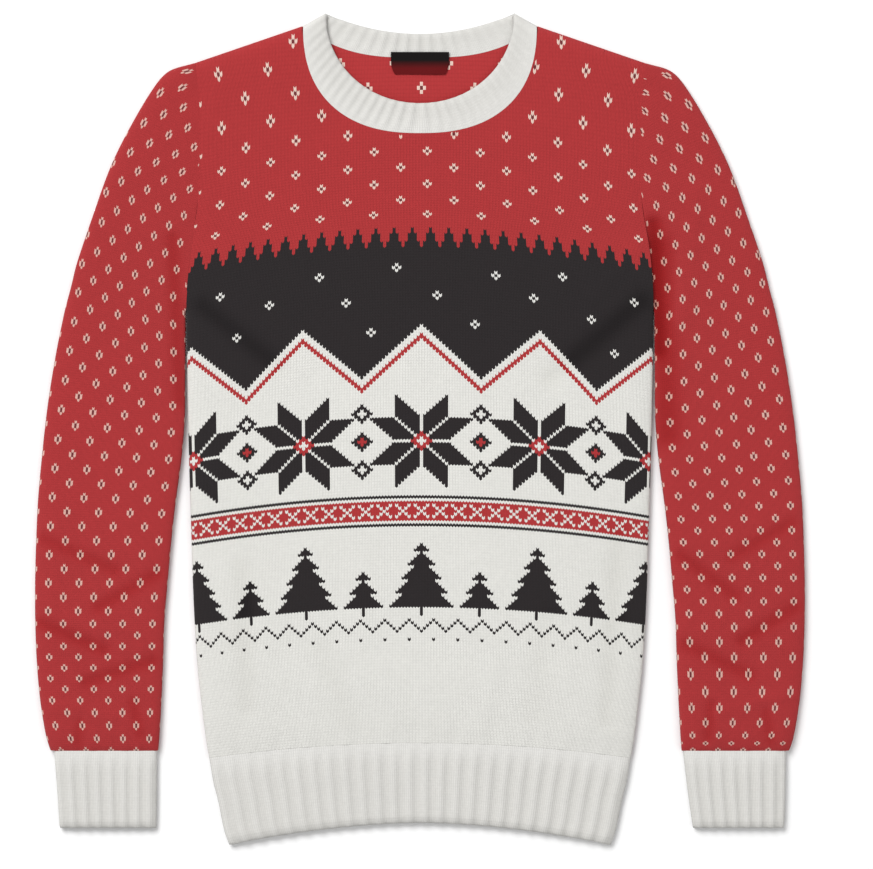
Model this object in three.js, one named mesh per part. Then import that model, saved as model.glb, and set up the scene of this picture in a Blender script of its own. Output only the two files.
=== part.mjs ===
// A knitted long-sleeved crew-neck sweater, laid flat on its back with the front up.
// Millimetres. +Z is up, +Y runs from the hem to the neck, and +X is to the viewer's right.
import * as THREE from 'three';

// Cloth: every piece is one knitted wall, and sewn edges stay a hair apart.
const WALL = 3;
const SEAM_GAP = 0.3;

// Heights of the flat garment above the surface: two walls with a little air between them.
const BODY_HEIGHT = 9.8;
const RIB_HEIGHT = 8.6;
const MIDDLE = BODY_HEIGHT / 2;

// Width of the soft rounding beside each folded edge.
const BODY_FOLD = 34;
const SLEEVE_FOLD = 24;
const RIB_FOLD = 16;
const COLLAR_FOLD = 14;

// A seam lies in a shallow dip.
const SEAM_DIP = 0.8;
const SEAM_DIP_WIDTH = 5;

// Half widths are measured from the middle line, and heights along Y from the lowest corner of the hem.
const HEM_HALF = 163.8;
const HEM_ARCH = 18.9;
const HEM_ARCH_POWER = 1.75;
const RIB_SEAM_MIDDLE = 87.7;
const RIB_SEAM_DROP = 12.9;
const RIB_SEAM_HALF = 181;
const UNDERARM_HEIGHT = 459;
const NECK_HALF = 100.2;
const NECK_TOP = 703;
const NECK_DEPTH = 92.4;
const NECK_POWER = 2.4;
const SHOULDER_HALF = 193.5;
const SHOULDER_TOP = 671;
const BACK_NECK_DROP = 27;
const BACK_NECK_POWER = 3;

// The neckband stands in from the neckline to a free edge, and both meet at the folded shoulders.
const COLLAR_HALF = 80.9;
const COLLAR_TOP = 713.8;
const COLLAR_DEPTH = 77.3;
const COLLAR_POWER = 2.05;
const BACK_COLLAR_DROP = 17.4;
const BACK_COLLAR_POWER = 2;
const COLLAR_SAG = 1.2;

// Ribbing: ridges that stand out from the wall, three columns of points to a rib.
const RIB_RAISE = 0.9;
const POINTS_PER_RIB = 3;
const HEM_RIBS = 26;
const CUFF_RIBS = 8;
const COLLAR_FRONT_RIBS = 32;
const COLLAR_BACK_RIBS = 18;

// Woven label at the back of the neck.
const LABEL_WIDTH = 50;
const LABEL_LENGTH = 19;
const LABEL_THICKNESS = 0.8;

const RED_YARN = '#ae3c3d';
const WHITE_YARN = '#deddd8';
const LABEL_CLOTH = '#2b2224';

// Side edge of the body from the rib seam to the underarm, then the armhole up to the shoulder.
const SIDE = [
  { height: 74.8, half: 181.0 },
  { height: 90, half: 183.6 },
  { height: 124, half: 187.9 },
  { height: 158, half: 191.4 },
  { height: 210, half: 194.4 },
  { height: 261, half: 196.1 },
  { height: 347, half: 198.7 },
  { height: UNDERARM_HEIGHT, half: 200.4 },
  { height: 485, half: 199.5 },
  { height: 511, half: 196.9 },
  { height: 554, half: 190.2 },
  { height: 635, half: 189.4 },
  { height: SHOULDER_TOP, half: SHOULDER_HALF },
];

// Side edge of the hem rib, by its share of the way up from the hem to the seam.
const RIB_SIDE = [
  { share: 0, half: HEM_HALF },
  { share: 0.16, half: 168 },
  { share: 0.5, half: 173.3 },
  { share: 0.73, half: 177.6 },
  { share: 1, half: RIB_SEAM_HALF },
];

// The cloth blouses a little over the tighter rib.
const BLOUSE = [
  { above: 0, top: 8.9 },
  { above: 5, top: 10.0 },
  { above: 14, top: 10.7 },
  { above: 45, top: 10.3 },
  { above: 90, top: BODY_HEIGHT },
];

// Sections across the sleeve from the cuff to the armhole. The outer end is the folded top edge and the
// inner end is the underarm seam; top is the height of the upper layer.
const SLEEVE = [
  { outerHalf: 314.6, outerHeight: 81.0, innerHalf: 225.6, innerHeight: 81.0, top: 8.9 },
  { outerHalf: 318.0, outerHeight: 84.5, innerHalf: 224.6, innerHeight: 84.5, top: 10.2 },
  { outerHalf: 321.0, outerHeight: 95, innerHalf: 223.6, innerHeight: 95, top: 11.0 },
  { outerHalf: 326.0, outerHeight: 124, innerHalf: 221.9, innerHeight: 124, top: 10.4 },
  { outerHalf: 329.0, outerHeight: 158, innerHalf: 220.4, innerHeight: 158, top: 9.9 },
  { outerHalf: 330.3, outerHeight: 193, innerHalf: 219.3, innerHeight: 193, top: 10.3 },
  { outerHalf: 330.4, outerHeight: 227, innerHalf: 216.4, innerHeight: 227, top: 9.8 },
  { outerHalf: 329.5, outerHeight: 261, innerHalf: 213.4, innerHeight: 261, top: 10.2 },
  { outerHalf: 327.9, outerHeight: 296, innerHalf: 210.0, innerHeight: 291, top: 9.8 },
  { outerHalf: 324.0, outerHeight: 339, innerHalf: 206.0, innerHeight: 317, top: 9.9 },
  { outerHalf: 319.9, outerHeight: 375, innerHalf: 203.0, innerHeight: 341, top: 9.8 },
  { outerHalf: 313.5, outerHeight: 416, innerHalf: 201.8, innerHeight: 365, top: 9.8 },
  { outerHalf: 305.3, outerHeight: 457, innerHalf: 201.6, innerHeight: 389, top: 9.8 },
  { outerHalf: 294.6, outerHeight: 499, innerHalf: 201.5, innerHeight: 412, top: 9.8 },
  { outerHalf: 280.8, outerHeight: 540, innerHalf: 201.4, innerHeight: 429, top: 9.8 },
  { outerHalf: 264.5, outerHeight: 581, innerHalf: 201.3, innerHeight: 442, top: 9.8 },
  { outerHalf: 246.5, outerHeight: 613, innerHalf: 201.2, innerHeight: 450, top: 9.8 },
  { outerHalf: 226.6, outerHeight: 650, innerHalf: 201.1, innerHeight: 455, top: 9.8 },
  { outerHalf: 214.6, outerHeight: 664, innerHalf: 201.0, innerHeight: 457, top: 9.8 },
];

// Sections across the cuff from its free edge up to the sleeve.
const CUFF = [
  { outerHalf: 313.6, innerHalf: 227.6, height: 14.5, top: 7.4 },
  { outerHalf: 314.0, innerHalf: 227.4, height: 17, top: RIB_HEIGHT },
  { outerHalf: 313.6, innerHalf: 226.0, height: 48, top: RIB_HEIGHT },
  { outerHalf: 314.3, innerHalf: 225.8, height: 80.7, top: RIB_HEIGHT },
];

// Shares of a fold's width at which the rounding is sampled.
const FOLD_STEPS = [0, 0.05, 0.25, 1];

// Shares of the way up the hem rib, and from the sewn to the free edge of the neckband, that hold points.
const RIB_ROWS = [0, 0.04, 0.35, 0.7, 1];
const COLLAR_ROWS = [0, 0.5, 1];

// Columns of a body panel along the neckline and along each shoulder, and its rows below the underarm.
const NECK_COLUMNS = 16;
const SHOULDER_COLUMNS = 3;
const LOWER_ROWS = 6;

// The sleeve has as many columns between its folds as the panel has rows along the armhole, so they meet
// point to point.
const ARMHOLE_COLUMNS = 5;

// Reads one column of a table at a value of another, smoothly between its rows.
function lookUp(table, key, column, at) {
  const last = table.length - 1;
  let i = 0;
  while (i < last - 1 && table[i + 1][key] < at) {
    i += 1;
  }
  const slope = (j) => {
    const before = table[Math.max(j - 1, 0)];
    const after = table[Math.min(j + 1, last)];
    return (after[column] - before[column]) / (after[key] - before[key]);
  };
  const span = table[i + 1][key] - table[i][key];
  const t = THREE.MathUtils.clamp((at - table[i][key]) / span, 0, 1);
  const ease = t * t * (3 - 2 * t);
  const leave = t * (1 - t) * (1 - t) * span * slope(i);
  const arrive = t * t * (t - 1) * span * slope(i + 1);
  return table[i][column] * (1 - ease) + table[i + 1][column] * ease + leave + arrive;
}

function mix(a, b, t) {
  return a + (b - a) * t;
}

// Keeps the sign of a sine or cosine and bends it so that it draws a squarer or rounder curve than a circle.
function reach(value, power) {
  return Math.sign(value) * Math.abs(value) ** (2 / power);
}

// How far the cloth has risen beside a fold: 0 at the fold, 1 where it lies flat.
function rise(share) {
  const left = 1 - THREE.MathUtils.clamp(share, 0, 1);
  return Math.cbrt(1 - left ** 3);
}

// The inside of a fold sits one wall further in than the outside.
function insideShift(share) {
  return WALL * (1 - THREE.MathUtils.clamp(share, 0, 1));
}

function dip(distance) {
  return SEAM_DIP * Math.exp(-((distance / SEAM_DIP_WIDTH) ** 2));
}

function distanceToSegment(x, y, start, end) {
  const line = new THREE.Line3(new THREE.Vector3(...start, 0), new THREE.Vector3(...end, 0));
  const point = new THREE.Vector3(x, y, 0);
  return line.closestPointToPoint(point, true, new THREE.Vector3()).distanceTo(point);
}

// Ridge height at a column of ribbing: two high columns, then a narrow groove.
function ridge(column) {
  return column % POINTS_PER_RIB === POINTS_PER_RIB - 1 ? 0 : RIB_RAISE;
}

// Joins two skins of points, an upper and a lower one, into one closed wall. Each is a list of rows of points.
// In a tube the rows close on themselves.
function wallGeometry(upper, lower, isTube) {
  const rows = upper.length;
  const columns = upper[0].length;
  const positions = [...upper.flat(), ...lower.flat()].flat();
  const top = (r, c) => r * columns + (c % columns);
  const bottom = (r, c) => rows * columns + top(r, c);
  const faces = [];
  const quad = (a, b, c, d) => faces.push(a, b, c, a, c, d);
  const cells = isTube ? columns : columns - 1;
  for (let c = 0; c < cells; c += 1) {
    for (let r = 0; r < rows - 1; r += 1) {
      quad(top(r, c), top(r, c + 1), top(r + 1, c + 1), top(r + 1, c));
      quad(bottom(r, c), bottom(r + 1, c), bottom(r + 1, c + 1), bottom(r, c + 1));
    }
    quad(top(0, c + 1), top(0, c), bottom(0, c), bottom(0, c + 1));
    quad(top(rows - 1, c), top(rows - 1, c + 1), bottom(rows - 1, c + 1), bottom(rows - 1, c));
  }
  if (!isTube) {
    const right = columns - 1;
    for (let r = 0; r < rows - 1; r += 1) {
      quad(top(r, 0), top(r + 1, 0), bottom(r + 1, 0), bottom(r, 0));
      quad(top(r + 1, right), top(r, right), bottom(r, right), bottom(r + 1, right));
    }
  }
  const geometry = new THREE.BufferGeometry();
  geometry.setAttribute('position', new THREE.Float32BufferAttribute(positions, 3));
  geometry.setIndex(faces);
  geometry.computeVertexNormals();
  return geometry;
}

// The same piece for the other side of the garment.
function mirrored(geometry) {
  const copy = geometry.clone();
  copy.scale(-1, 1, 1);
  const index = copy.getIndex();
  for (let i = 0; i < index.count; i += 3) {
    const second = index.getX(i + 1);
    index.setX(i + 1, index.getX(i + 2));
    index.setX(i + 2, second);
  }
  copy.computeVertexNormals();
  return copy;
}

function piece(name, geometry, color) {
  const material = new THREE.MeshStandardMaterial({ color, roughness: 0.95, metalness: 0 });
  const mesh = new THREE.Mesh(geometry, material);
  mesh.name = name;
  return mesh;
}

// Outline curves of the body.
function sideHalf(height) {
  return lookUp(SIDE, 'height', 'half', height);
}

function hemHeight(x) {
  return HEM_ARCH * (1 - (Math.abs(x) / HEM_HALF) ** HEM_ARCH_POWER);
}

function ribSeamHeight(x) {
  return RIB_SEAM_MIDDLE - RIB_SEAM_DROP * (x / RIB_SEAM_HALF) ** 2;
}

function shoulderHeight(x) {
  const share = (Math.abs(x) - NECK_HALF) / (SHOULDER_HALF - NECK_HALF);
  return mix(NECK_TOP, SHOULDER_TOP, share);
}

function frontNeckHeight(x) {
  const share = Math.min(Math.abs(x) / NECK_HALF, 1);
  return NECK_TOP - NECK_DEPTH * (1 - share ** NECK_POWER) ** (1 / NECK_POWER);
}

function backNeckHeight(x) {
  const share = Math.min(Math.abs(x) / NECK_HALF, 1);
  return NECK_TOP - BACK_NECK_DROP * (1 - share ** BACK_NECK_POWER);
}

// Points along a neckline from the left shoulder to the right one, a column of the panel at each.
function necklinePoints(neckHeight) {
  const points = [];
  for (let i = 0; i <= NECK_COLUMNS; i += 1) {
    const angle = mix(-Math.PI / 2, Math.PI / 2, i / NECK_COLUMNS);
    const x = NECK_HALF * reach(Math.sin(angle), NECK_POWER);
    points.push([x, neckHeight(x)]);
  }
  return points;
}

// Top end of each column of a body panel: shoulder, neckline, shoulder.
function panelTops(neckHeight) {
  const left = [];
  for (let i = 0; i < SHOULDER_COLUMNS; i += 1) {
    const x = mix(SHOULDER_HALF - BODY_FOLD, NECK_HALF + SEAM_GAP, i / (SHOULDER_COLUMNS - 1));
    left.push([-x, shoulderHeight(x)]);
  }
  const wider = 1 + SEAM_GAP / NECK_HALF;
  const neck = necklinePoints(neckHeight).slice(1, -1).map(([x, y]) => [x * wider, y - SEAM_GAP]);
  const right = left.map(([x, y]) => [-x, y]).reverse();
  return [...left, ...neck, ...right];
}

// Rows of a body panel, as heights for one column that ends at topHeight.
function panelHeights(bottomHeight, topHeight) {
  const heights = BLOUSE.slice(0, -1).map((row) => bottomHeight + row.above);
  const start = RIB_SEAM_MIDDLE + BLOUSE[BLOUSE.length - 1].above;
  for (let i = 0; i < LOWER_ROWS; i += 1) {
    heights.push(mix(start, UNDERARM_HEIGHT, i / LOWER_ROWS));
  }
  FOLD_STEPS.forEach((step) => heights.push(UNDERARM_HEIGHT + step * SLEEVE_FOLD));
  const low = UNDERARM_HEIGHT + SLEEVE_FOLD;
  const high = topHeight - SLEEVE_FOLD;
  for (let i = 1; i < ARMHOLE_COLUMNS; i += 1) {
    heights.push(mix(low, high, i / ARMHOLE_COLUMNS));
  }
  [...FOLD_STEPS].reverse().forEach((step) => heights.push(topHeight - step * SLEEVE_FOLD));
  return heights;
}

// Shares of the roundings at a point of the body: at the side, which ends above the underarm, and at the
// shoulder.
function bodyFolds(x, y) {
  const fromSide = sideHalf(y) - Math.abs(x);
  const aboveUnderarm = Math.max(0, y - UNDERARM_HEIGHT);
  const fromShoulder = distanceToSegment(Math.abs(x), y, [NECK_HALF, NECK_TOP], [SHOULDER_HALF, SHOULDER_TOP]);
  return {
    side: fromSide / BODY_FOLD + aboveUnderarm / SLEEVE_FOLD,
    shoulder: fromShoulder / SLEEVE_FOLD,
    seamDip: aboveUnderarm > 0 ? dip(fromSide) : 0,
  };
}

// The inside of a wall lies further in beside the side fold and the shoulder fold.
function insidePlace(x, y, folds) {
  const insideY = y - insideShift(folds.shoulder);
  const insideX = x * (sideHalf(insideY) / sideHalf(y));
  return [insideX - Math.sign(x) * insideShift(folds.side), insideY];
}

// One layer of the body. Its skins are the outside and the inside of the wall.
function bodyPanel(neckHeight, outsideHeight, insideHeight, seamSide) {
  const tops = panelTops(neckHeight);
  const columns = [
    ...FOLD_STEPS.slice(0, -1).map((step) => ({ step, side: -1 })),
    ...tops.map((top) => ({ top })),
    ...FOLD_STEPS.slice(0, -1).reverse().map((step) => ({ step, side: 1 })),
  ];
  const outside = [];
  const inside = [];
  const rowCount = panelHeights(0, SHOULDER_TOP).length;
  for (let r = 0; r < rowCount; r += 1) {
    const outsideRow = [];
    const insideRow = [];
    columns.forEach(({ step, side, top }) => {
      const isEdge = side !== undefined;
      const topX = isEdge ? side * (SHOULDER_HALF - step * BODY_FOLD) : top[0];
      const topY = isEdge ? shoulderHeight(topX) : top[1];
      const narrower = RIB_SEAM_HALF / SHOULDER_HALF;
      const bottomX = isEdge ? side * (RIB_SEAM_HALF - step * BODY_FOLD) : topX * narrower;
      const y = panelHeights(ribSeamHeight(bottomX) + SEAM_GAP, topY)[r];
      const width = sideHalf(y);
      const x = isEdge ? side * (width - step * BODY_FOLD) : topX * (width / sideHalf(topY));
      const folds = bodyFolds(x, y);
      const flat = rise(folds.side) * rise(folds.shoulder);
      const aboveSeam = y - ribSeamHeight(x);
      const seam = MIDDLE + (seamSide * SEAM_GAP) / 2;
      outsideRow.push([x, y, mix(seam, outsideHeight(aboveSeam, folds), flat)]);
      insideRow.push([...insidePlace(x, y, folds), mix(seam, insideHeight(aboveSeam), flat)]);
    });
    outside.push(outsideRow);
    inside.push(insideRow);
  }
  return { outside, inside };
}

function blouseTop(above) {
  return lookUp(BLOUSE, 'above', 'top', Math.min(above, 90));
}

function frontPanel() {
  const upperOutside = (above, folds) => blouseTop(above) - folds.seamDip;
  const upperInside = (above) => Math.min(blouseTop(above), BODY_HEIGHT) - WALL;
  const { outside, inside } = bodyPanel(frontNeckHeight, upperOutside, upperInside, 1);
  return wallGeometry(outside, inside, false);
}

function backPanel() {
  const { outside, inside } = bodyPanel(backNeckHeight, () => 0, () => WALL, -1);
  return wallGeometry(inside, outside, false);
}

// Shares across a ribbed width, with extra columns where the edge rounds over.
function ribShares(ribs) {
  const count = ribs * POINTS_PER_RIB;
  const shares = Array.from({ length: count }, (_, i) => ({ t: (i + 0.5) / count, raise: ridge(i) }));
  const edge = [0, 0.1 / count, 0.28 / count];
  const start = edge.map((t) => ({ t, raise: 0 }));
  const end = edge.map((t) => ({ t: 1 - t, raise: 0 })).reverse();
  return [...start, ...shares, ...end];
}

// Half of the waistband, from the free hem to the seam.
function hemRib(isFront) {
  const shares = isFront ? ribShares(HEM_RIBS) : ribShares(Math.round(HEM_RIBS / POINTS_PER_RIB));
  const outside = [];
  const inside = [];
  RIB_ROWS.forEach((up) => {
    const half = lookUp(RIB_SIDE, 'share', 'half', up);
    const outsideRow = [];
    const insideRow = [];
    shares.forEach(({ t, raise }) => {
      const u = 2 * t - 1;
      const x = u * half;
      const seam = ribSeamHeight(u * RIB_SEAM_HALF) - SEAM_GAP / 2;
      const y = mix(hemHeight(u * HEM_HALF), seam, up);
      const share = (half - Math.abs(x)) / RIB_FOLD;
      const flat = rise(share);
      const insideX = x - Math.sign(x) * insideShift(share);
      const edgeRounding = up === 0 ? 1 : 0;
      const top = isFront ? RIB_HEIGHT - edgeRounding + raise : 0;
      const under = isFront ? RIB_HEIGHT - WALL : WALL;
      const middle = RIB_HEIGHT / 2 + (isFront ? SEAM_GAP / 2 : -SEAM_GAP / 2);
      outsideRow.push([x, y, mix(middle, top, flat)]);
      insideRow.push([insideX, y, mix(middle, under, flat)]);
    });
    outside.push(outsideRow);
    inside.push(insideRow);
  });
  return isFront ? wallGeometry(outside, inside, false) : wallGeometry(inside, outside, false);
}

// One ring of a flat tube: over the top from the outer end to the inner end, then back underneath. The top
// columns are shares of the way across, and the raise of each is added to the outside of the upper layer.
function flatRing(start, end, top, foldWidth, topColumns, underColumns, bend) {
  const length = start.distanceTo(end);
  const along = end.clone().sub(start).normalize();
  const outside = [];
  const inside = [];
  const place = (t, isTop, raise) => {
    const distance = t * length;
    const nearest = Math.min(distance, length - distance);
    const share = nearest / foldWidth;
    const flat = rise(share);
    const point = start.clone().addScaledVector(along, distance);
    const inward = t < 0.5 ? 1 : -1;
    const insidePoint = point.clone().addScaledVector(along, inward * insideShift(share));
    const middle = Math.min(top, BODY_HEIGHT) / 2;
    const plainTop = Math.min(top, BODY_HEIGHT) - WALL;
    const outsideHeight = isTop ? top + raise : 0;
    const insideHeight = isTop ? plainTop : WALL;
    const shift = bend(point.y);
    const insideBend = bend(insidePoint.y);
    outside.push([point.x + shift, point.y, mix(middle, outsideHeight, flat)]);
    inside.push([insidePoint.x + insideBend, insidePoint.y, mix(middle, insideHeight, flat)]);
  };
  topColumns.forEach(({ t, raise }) => place(t, true, raise));
  underColumns.slice(1, -1).reverse().forEach(({ t }) => place(t, false, 0));
  return { outside, inside };
}

// Shares across a sleeve, denser in the two folds.
function sleeveShares(length) {
  const fold = SLEEVE_FOLD / length;
  const start = FOLD_STEPS.map((step) => ({ t: step * fold, raise: 0 }));
  const end = start.map(({ t }) => ({ t: 1 - t, raise: 0 })).reverse();
  const between = [];
  for (let i = 1; i < ARMHOLE_COLUMNS; i += 1) {
    between.push({ t: mix(fold, 1 - fold, i / ARMHOLE_COLUMNS), raise: 0 });
  }
  return [...start, ...between, ...end];
}

// The left sleeve as seen from the front. Its last ring follows the armhole.
function sleeve() {
  const outside = [];
  const inside = [];
  const addRing = (start, end, top, bend) => {
    const columns = sleeveShares(start.distanceTo(end));
    const ring = flatRing(start, end, top, SLEEVE_FOLD, columns, columns, bend);
    outside.push(ring.outside);
    inside.push(ring.inside);
  };
  SLEEVE.forEach((row) => {
    const start = new THREE.Vector2(-row.outerHalf, row.outerHeight);
    const end = new THREE.Vector2(-row.innerHalf, row.innerHeight);
    addRing(start, end, row.top, () => 0);
  });
  const shoulder = new THREE.Vector2(-SHOULDER_HALF - SEAM_GAP, SHOULDER_TOP);
  const underarm = new THREE.Vector2(-SHOULDER_HALF - SEAM_GAP, UNDERARM_HEIGHT);
  addRing(shoulder, underarm, BODY_HEIGHT - SEAM_DIP, (y) => SHOULDER_HALF - sideHalf(y));
  return wallGeometry(outside, inside, true);
}

// The left cuff as seen from the front.
function cuff() {
  const outside = [];
  const inside = [];
  CUFF.forEach((row) => {
    const start = new THREE.Vector2(-row.outerHalf, row.height);
    const end = new THREE.Vector2(-row.innerHalf, row.height);
    const underColumns = ribShares(CUFF_RIBS / 4);
    const ring = flatRing(start, end, row.top, RIB_FOLD, ribShares(CUFF_RIBS), underColumns, () => 0);
    outside.push(ring.outside);
    inside.push(ring.inside);
  });
  return wallGeometry(outside, inside, true);
}

// A point on the straight stretches between the neckline's points, by its share of the way along them.
function pointAlong(points, share) {
  const at = share * (points.length - 1);
  const i = Math.min(Math.floor(at), points.length - 2);
  return [mix(points[i][0], points[i + 1][0], at - i), mix(points[i][1], points[i + 1][1], at - i)];
}

// Stations round the neckband, each from the sewn edge to the free edge: along the front from left to right,
// then along the back from right to left.
function collarStations() {
  const stations = [];
  const frontLine = necklinePoints(frontNeckHeight);
  const frontCount = COLLAR_FRONT_RIBS * POINTS_PER_RIB;
  for (let i = 0; i < frontCount; i += 1) {
    const share = i / frontCount;
    const angle = mix(-Math.PI / 2, Math.PI / 2, share);
    const free = [
      COLLAR_HALF * reach(Math.sin(angle), COLLAR_POWER),
      COLLAR_TOP - COLLAR_DEPTH * reach(Math.cos(angle), COLLAR_POWER),
    ];
    stations.push({ sewn: pointAlong(frontLine, share), free, isFront: true, raise: ridge(i + 1) });
  }
  const backLine = necklinePoints(backNeckHeight);
  const backCount = COLLAR_BACK_RIBS * POINTS_PER_RIB;
  for (let i = 0; i < backCount; i += 1) {
    const across = mix(1, -1, i / backCount);
    const angle = Math.sign(across) * Math.asin(Math.abs(across) ** (NECK_POWER / 2));
    const free = [
      COLLAR_HALF * across,
      COLLAR_TOP - BACK_COLLAR_DROP * (1 - Math.abs(across) ** BACK_COLLAR_POWER),
    ];
    const sewn = pointAlong(backLine, angle / Math.PI + 0.5);
    stations.push({ sewn, free, isFront: false, raise: ridge(i + 1) });
  }
  return stations;
}

// The neckband: a ring with its sewn edge on the neckline, folded flat at both shoulders.
function neckband() {
  const foldDirection = new THREE.Vector2(COLLAR_HALF - NECK_HALF, COLLAR_TOP - NECK_TOP).normalize();
  const inward = new THREE.Vector2(-foldDirection.y, foldDirection.x);
  const outside = [];
  const inside = [];
  COLLAR_ROWS.forEach((toFree) => {
    const outsideRow = [];
    const insideRow = [];
    collarStations().forEach(({ sewn, free, isFront, raise }) => {
      const x = mix(sewn[0], free[0], toFree);
      const y = mix(sewn[1], free[1], toFree);
      const side = Math.sign(x);
      const distance = distanceToSegment(Math.abs(x), y, [NECK_HALF, NECK_TOP], [COLLAR_HALF, COLLAR_TOP]);
      const share = distance / COLLAR_FOLD;
      const flat = rise(share);
      const shift = insideShift(share);
      const sag = COLLAR_SAG * toFree;
      const outsideHeight = isFront ? BODY_HEIGHT - sag + raise : 0;
      const insideHeight = isFront ? BODY_HEIGHT - sag - WALL : WALL + raise;
      outsideRow.push([x, y, mix(MIDDLE, outsideHeight, flat)]);
      insideRow.push([x + side * inward.x * shift, y + inward.y * shift, mix(MIDDLE, insideHeight, flat)]);
    });
    outside.push(outsideRow);
    inside.push(insideRow);
  });
  return wallGeometry(outside, inside, true);
}

// The label lies on the inside of the back, just below the neck seam.
function neckLabel() {
  const geometry = new THREE.BoxGeometry(LABEL_WIDTH, LABEL_LENGTH, LABEL_THICKNESS);
  const topEdge = NECK_TOP - BACK_NECK_DROP - SEAM_GAP;
  geometry.translate(0, topEdge - LABEL_LENGTH / 2, WALL + SEAM_GAP + LABEL_THICKNESS / 2);
  return geometry;
}

const group = new THREE.Group();
const sleeveGeometry = sleeve();
const cuffGeometry = cuff();
group.add(piece('front', frontPanel(), WHITE_YARN));
group.add(piece('back', backPanel(), RED_YARN));
group.add(piece('left_sleeve', sleeveGeometry, RED_YARN));
group.add(piece('right_sleeve', mirrored(sleeveGeometry), RED_YARN));
group.add(piece('hem_rib_front', hemRib(true), WHITE_YARN));
group.add(piece('hem_rib_back', hemRib(false), WHITE_YARN));
group.add(piece('left_cuff', cuffGeometry, WHITE_YARN));
group.add(piece('right_cuff', mirrored(cuffGeometry), WHITE_YARN));
group.add(piece('neckband', neckband(), WHITE_YARN));
group.add(piece('neck_label', neckLabel(), LABEL_CLOTH));

// The origin is on the surface, under the middle of the garment.
const box = new THREE.Box3().setFromObject(group);
const middle = box.getCenter(new THREE.Vector3());
group.position.set(-middle.x, -middle.y, -box.min.z);

export default group;
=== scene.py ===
import bmesh
import bpy
import numpy as np
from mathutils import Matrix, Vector


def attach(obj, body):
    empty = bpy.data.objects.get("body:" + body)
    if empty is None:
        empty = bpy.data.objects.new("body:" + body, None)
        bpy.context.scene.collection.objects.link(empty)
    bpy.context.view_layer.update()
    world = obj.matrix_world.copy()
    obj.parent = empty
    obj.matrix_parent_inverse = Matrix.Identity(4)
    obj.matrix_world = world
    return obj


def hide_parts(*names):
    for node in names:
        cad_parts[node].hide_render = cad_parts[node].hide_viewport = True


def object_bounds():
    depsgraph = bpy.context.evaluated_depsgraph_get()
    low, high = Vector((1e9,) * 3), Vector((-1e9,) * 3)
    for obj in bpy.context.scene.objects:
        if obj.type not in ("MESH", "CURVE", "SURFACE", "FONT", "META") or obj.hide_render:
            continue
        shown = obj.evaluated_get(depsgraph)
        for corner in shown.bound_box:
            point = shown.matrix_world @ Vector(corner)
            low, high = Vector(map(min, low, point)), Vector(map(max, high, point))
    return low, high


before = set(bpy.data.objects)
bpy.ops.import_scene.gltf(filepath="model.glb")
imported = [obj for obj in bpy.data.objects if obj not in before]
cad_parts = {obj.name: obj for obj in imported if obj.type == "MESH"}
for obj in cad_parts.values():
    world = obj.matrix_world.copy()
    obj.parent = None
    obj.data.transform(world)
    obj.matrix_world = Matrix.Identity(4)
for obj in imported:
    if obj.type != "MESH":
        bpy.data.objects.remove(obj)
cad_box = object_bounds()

# A christmas sweater of lambswool, laid flat with its front up. Every size is in millimetres until a
# mesh is filled in. X is across from the middle line, and heights run up from the lowest corner of the hem.
METRES = 0.001
HEM_Y = cad_box[0].y / METRES


def named_rows(columns, *rows):
    """A list of rows, each with its values under the names of the columns."""
    return [dict(zip(columns.split(), row)) for row in rows]


# Cloth, seams and the heights of the flat garment above the surface
WALL = 3.0
SEAM_GAP = 0.06
SEAM_TUCK = 0.35
BODY_HEIGHT = 9.8
RIB_HEIGHT = 8.6
MIDDLE = BODY_HEIGHT / 2
BODY_FOLD = 34.0
SLEEVE_FOLD = 24.0
RIB_FOLD = 16.0
COLLAR_FOLD = 14.0
SEAM_DIP = 0.6
SEAM_DIP_WIDTH = 7.0
SEAM_TOP = 8.9

# Outline of the body
HEM_HALF = 163.8
HEM_ARCH = 18.9
HEM_ARCH_POWER = 1.75
RIB_SEAM_MIDDLE = 87.7
RIB_SEAM_DROP = 12.9
RIB_SEAM_HALF = 181.0
UNDERARM_HEIGHT = 459.0
SLEEVE_UNDERARM = 458.5
NECK_HALF = 100.2
NECK_TOP = 703.0
NECK_DEPTH = 92.4
NECK_POWER = 2.4
SHOULDER_HALF = 193.5
SHOULDER_TOP = 671.0
BACK_NECK_DROP = 27.0
BACK_NECK_POWER = 3.0
COLLAR_HALF = 80.9
COLLAR_TOP = 713.8
COLLAR_DEPTH = 77.3
COLLAR_POWER = 2.05
BACK_COLLAR_DROP = 17.4
BACK_COLLAR_POWER = 2.0
COLLAR_SAG = 1.2
COLLAR_WIDTH = 23.0
COLLAR_ROUNDING = 0.9
COLLAR_ROUNDING_ROWS = 1.1
COLLAR_RIB_START_ROWS = 1.6
COLLAR_RIB_SHARE = 0.65
COLLAR_SIDE_RIB_SHARE = 0.25
COLLAR_SIDE_GROOVE_SHARE = 0.4
COLLAR_DEEPENING = 0.07

SIDE = named_rows(
    "height half",
    (74.8, 181.0),
    (90.0, 183.6),
    (124.0, 187.9),
    (158.0, 191.4),
    (210.0, 194.4),
    (261.0, 196.1),
    (347.0, 198.7),
    (UNDERARM_HEIGHT, 200.4),
    (485.0, 199.5),
    (511.0, 196.9),
    (554.0, 190.2),
    (635.0, 189.4),
    (SHOULDER_TOP, SHOULDER_HALF),
)
RIB_SIDE = named_rows(
    "share half",
    (0.0, HEM_HALF),
    (0.16, 168.0),
    (0.5, 173.3),
    (0.73, 177.6),
    (1.0, RIB_SEAM_HALF),
)
# The front bags out over its rib: how high it stands, by its distance above their seam
BLOUSE = named_rows(
    "above top",
    (0.0, SEAM_TOP),
    (18.0, 9.8),
    (50.0, 10.2),
    (90.0, BODY_HEIGHT),
)

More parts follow.
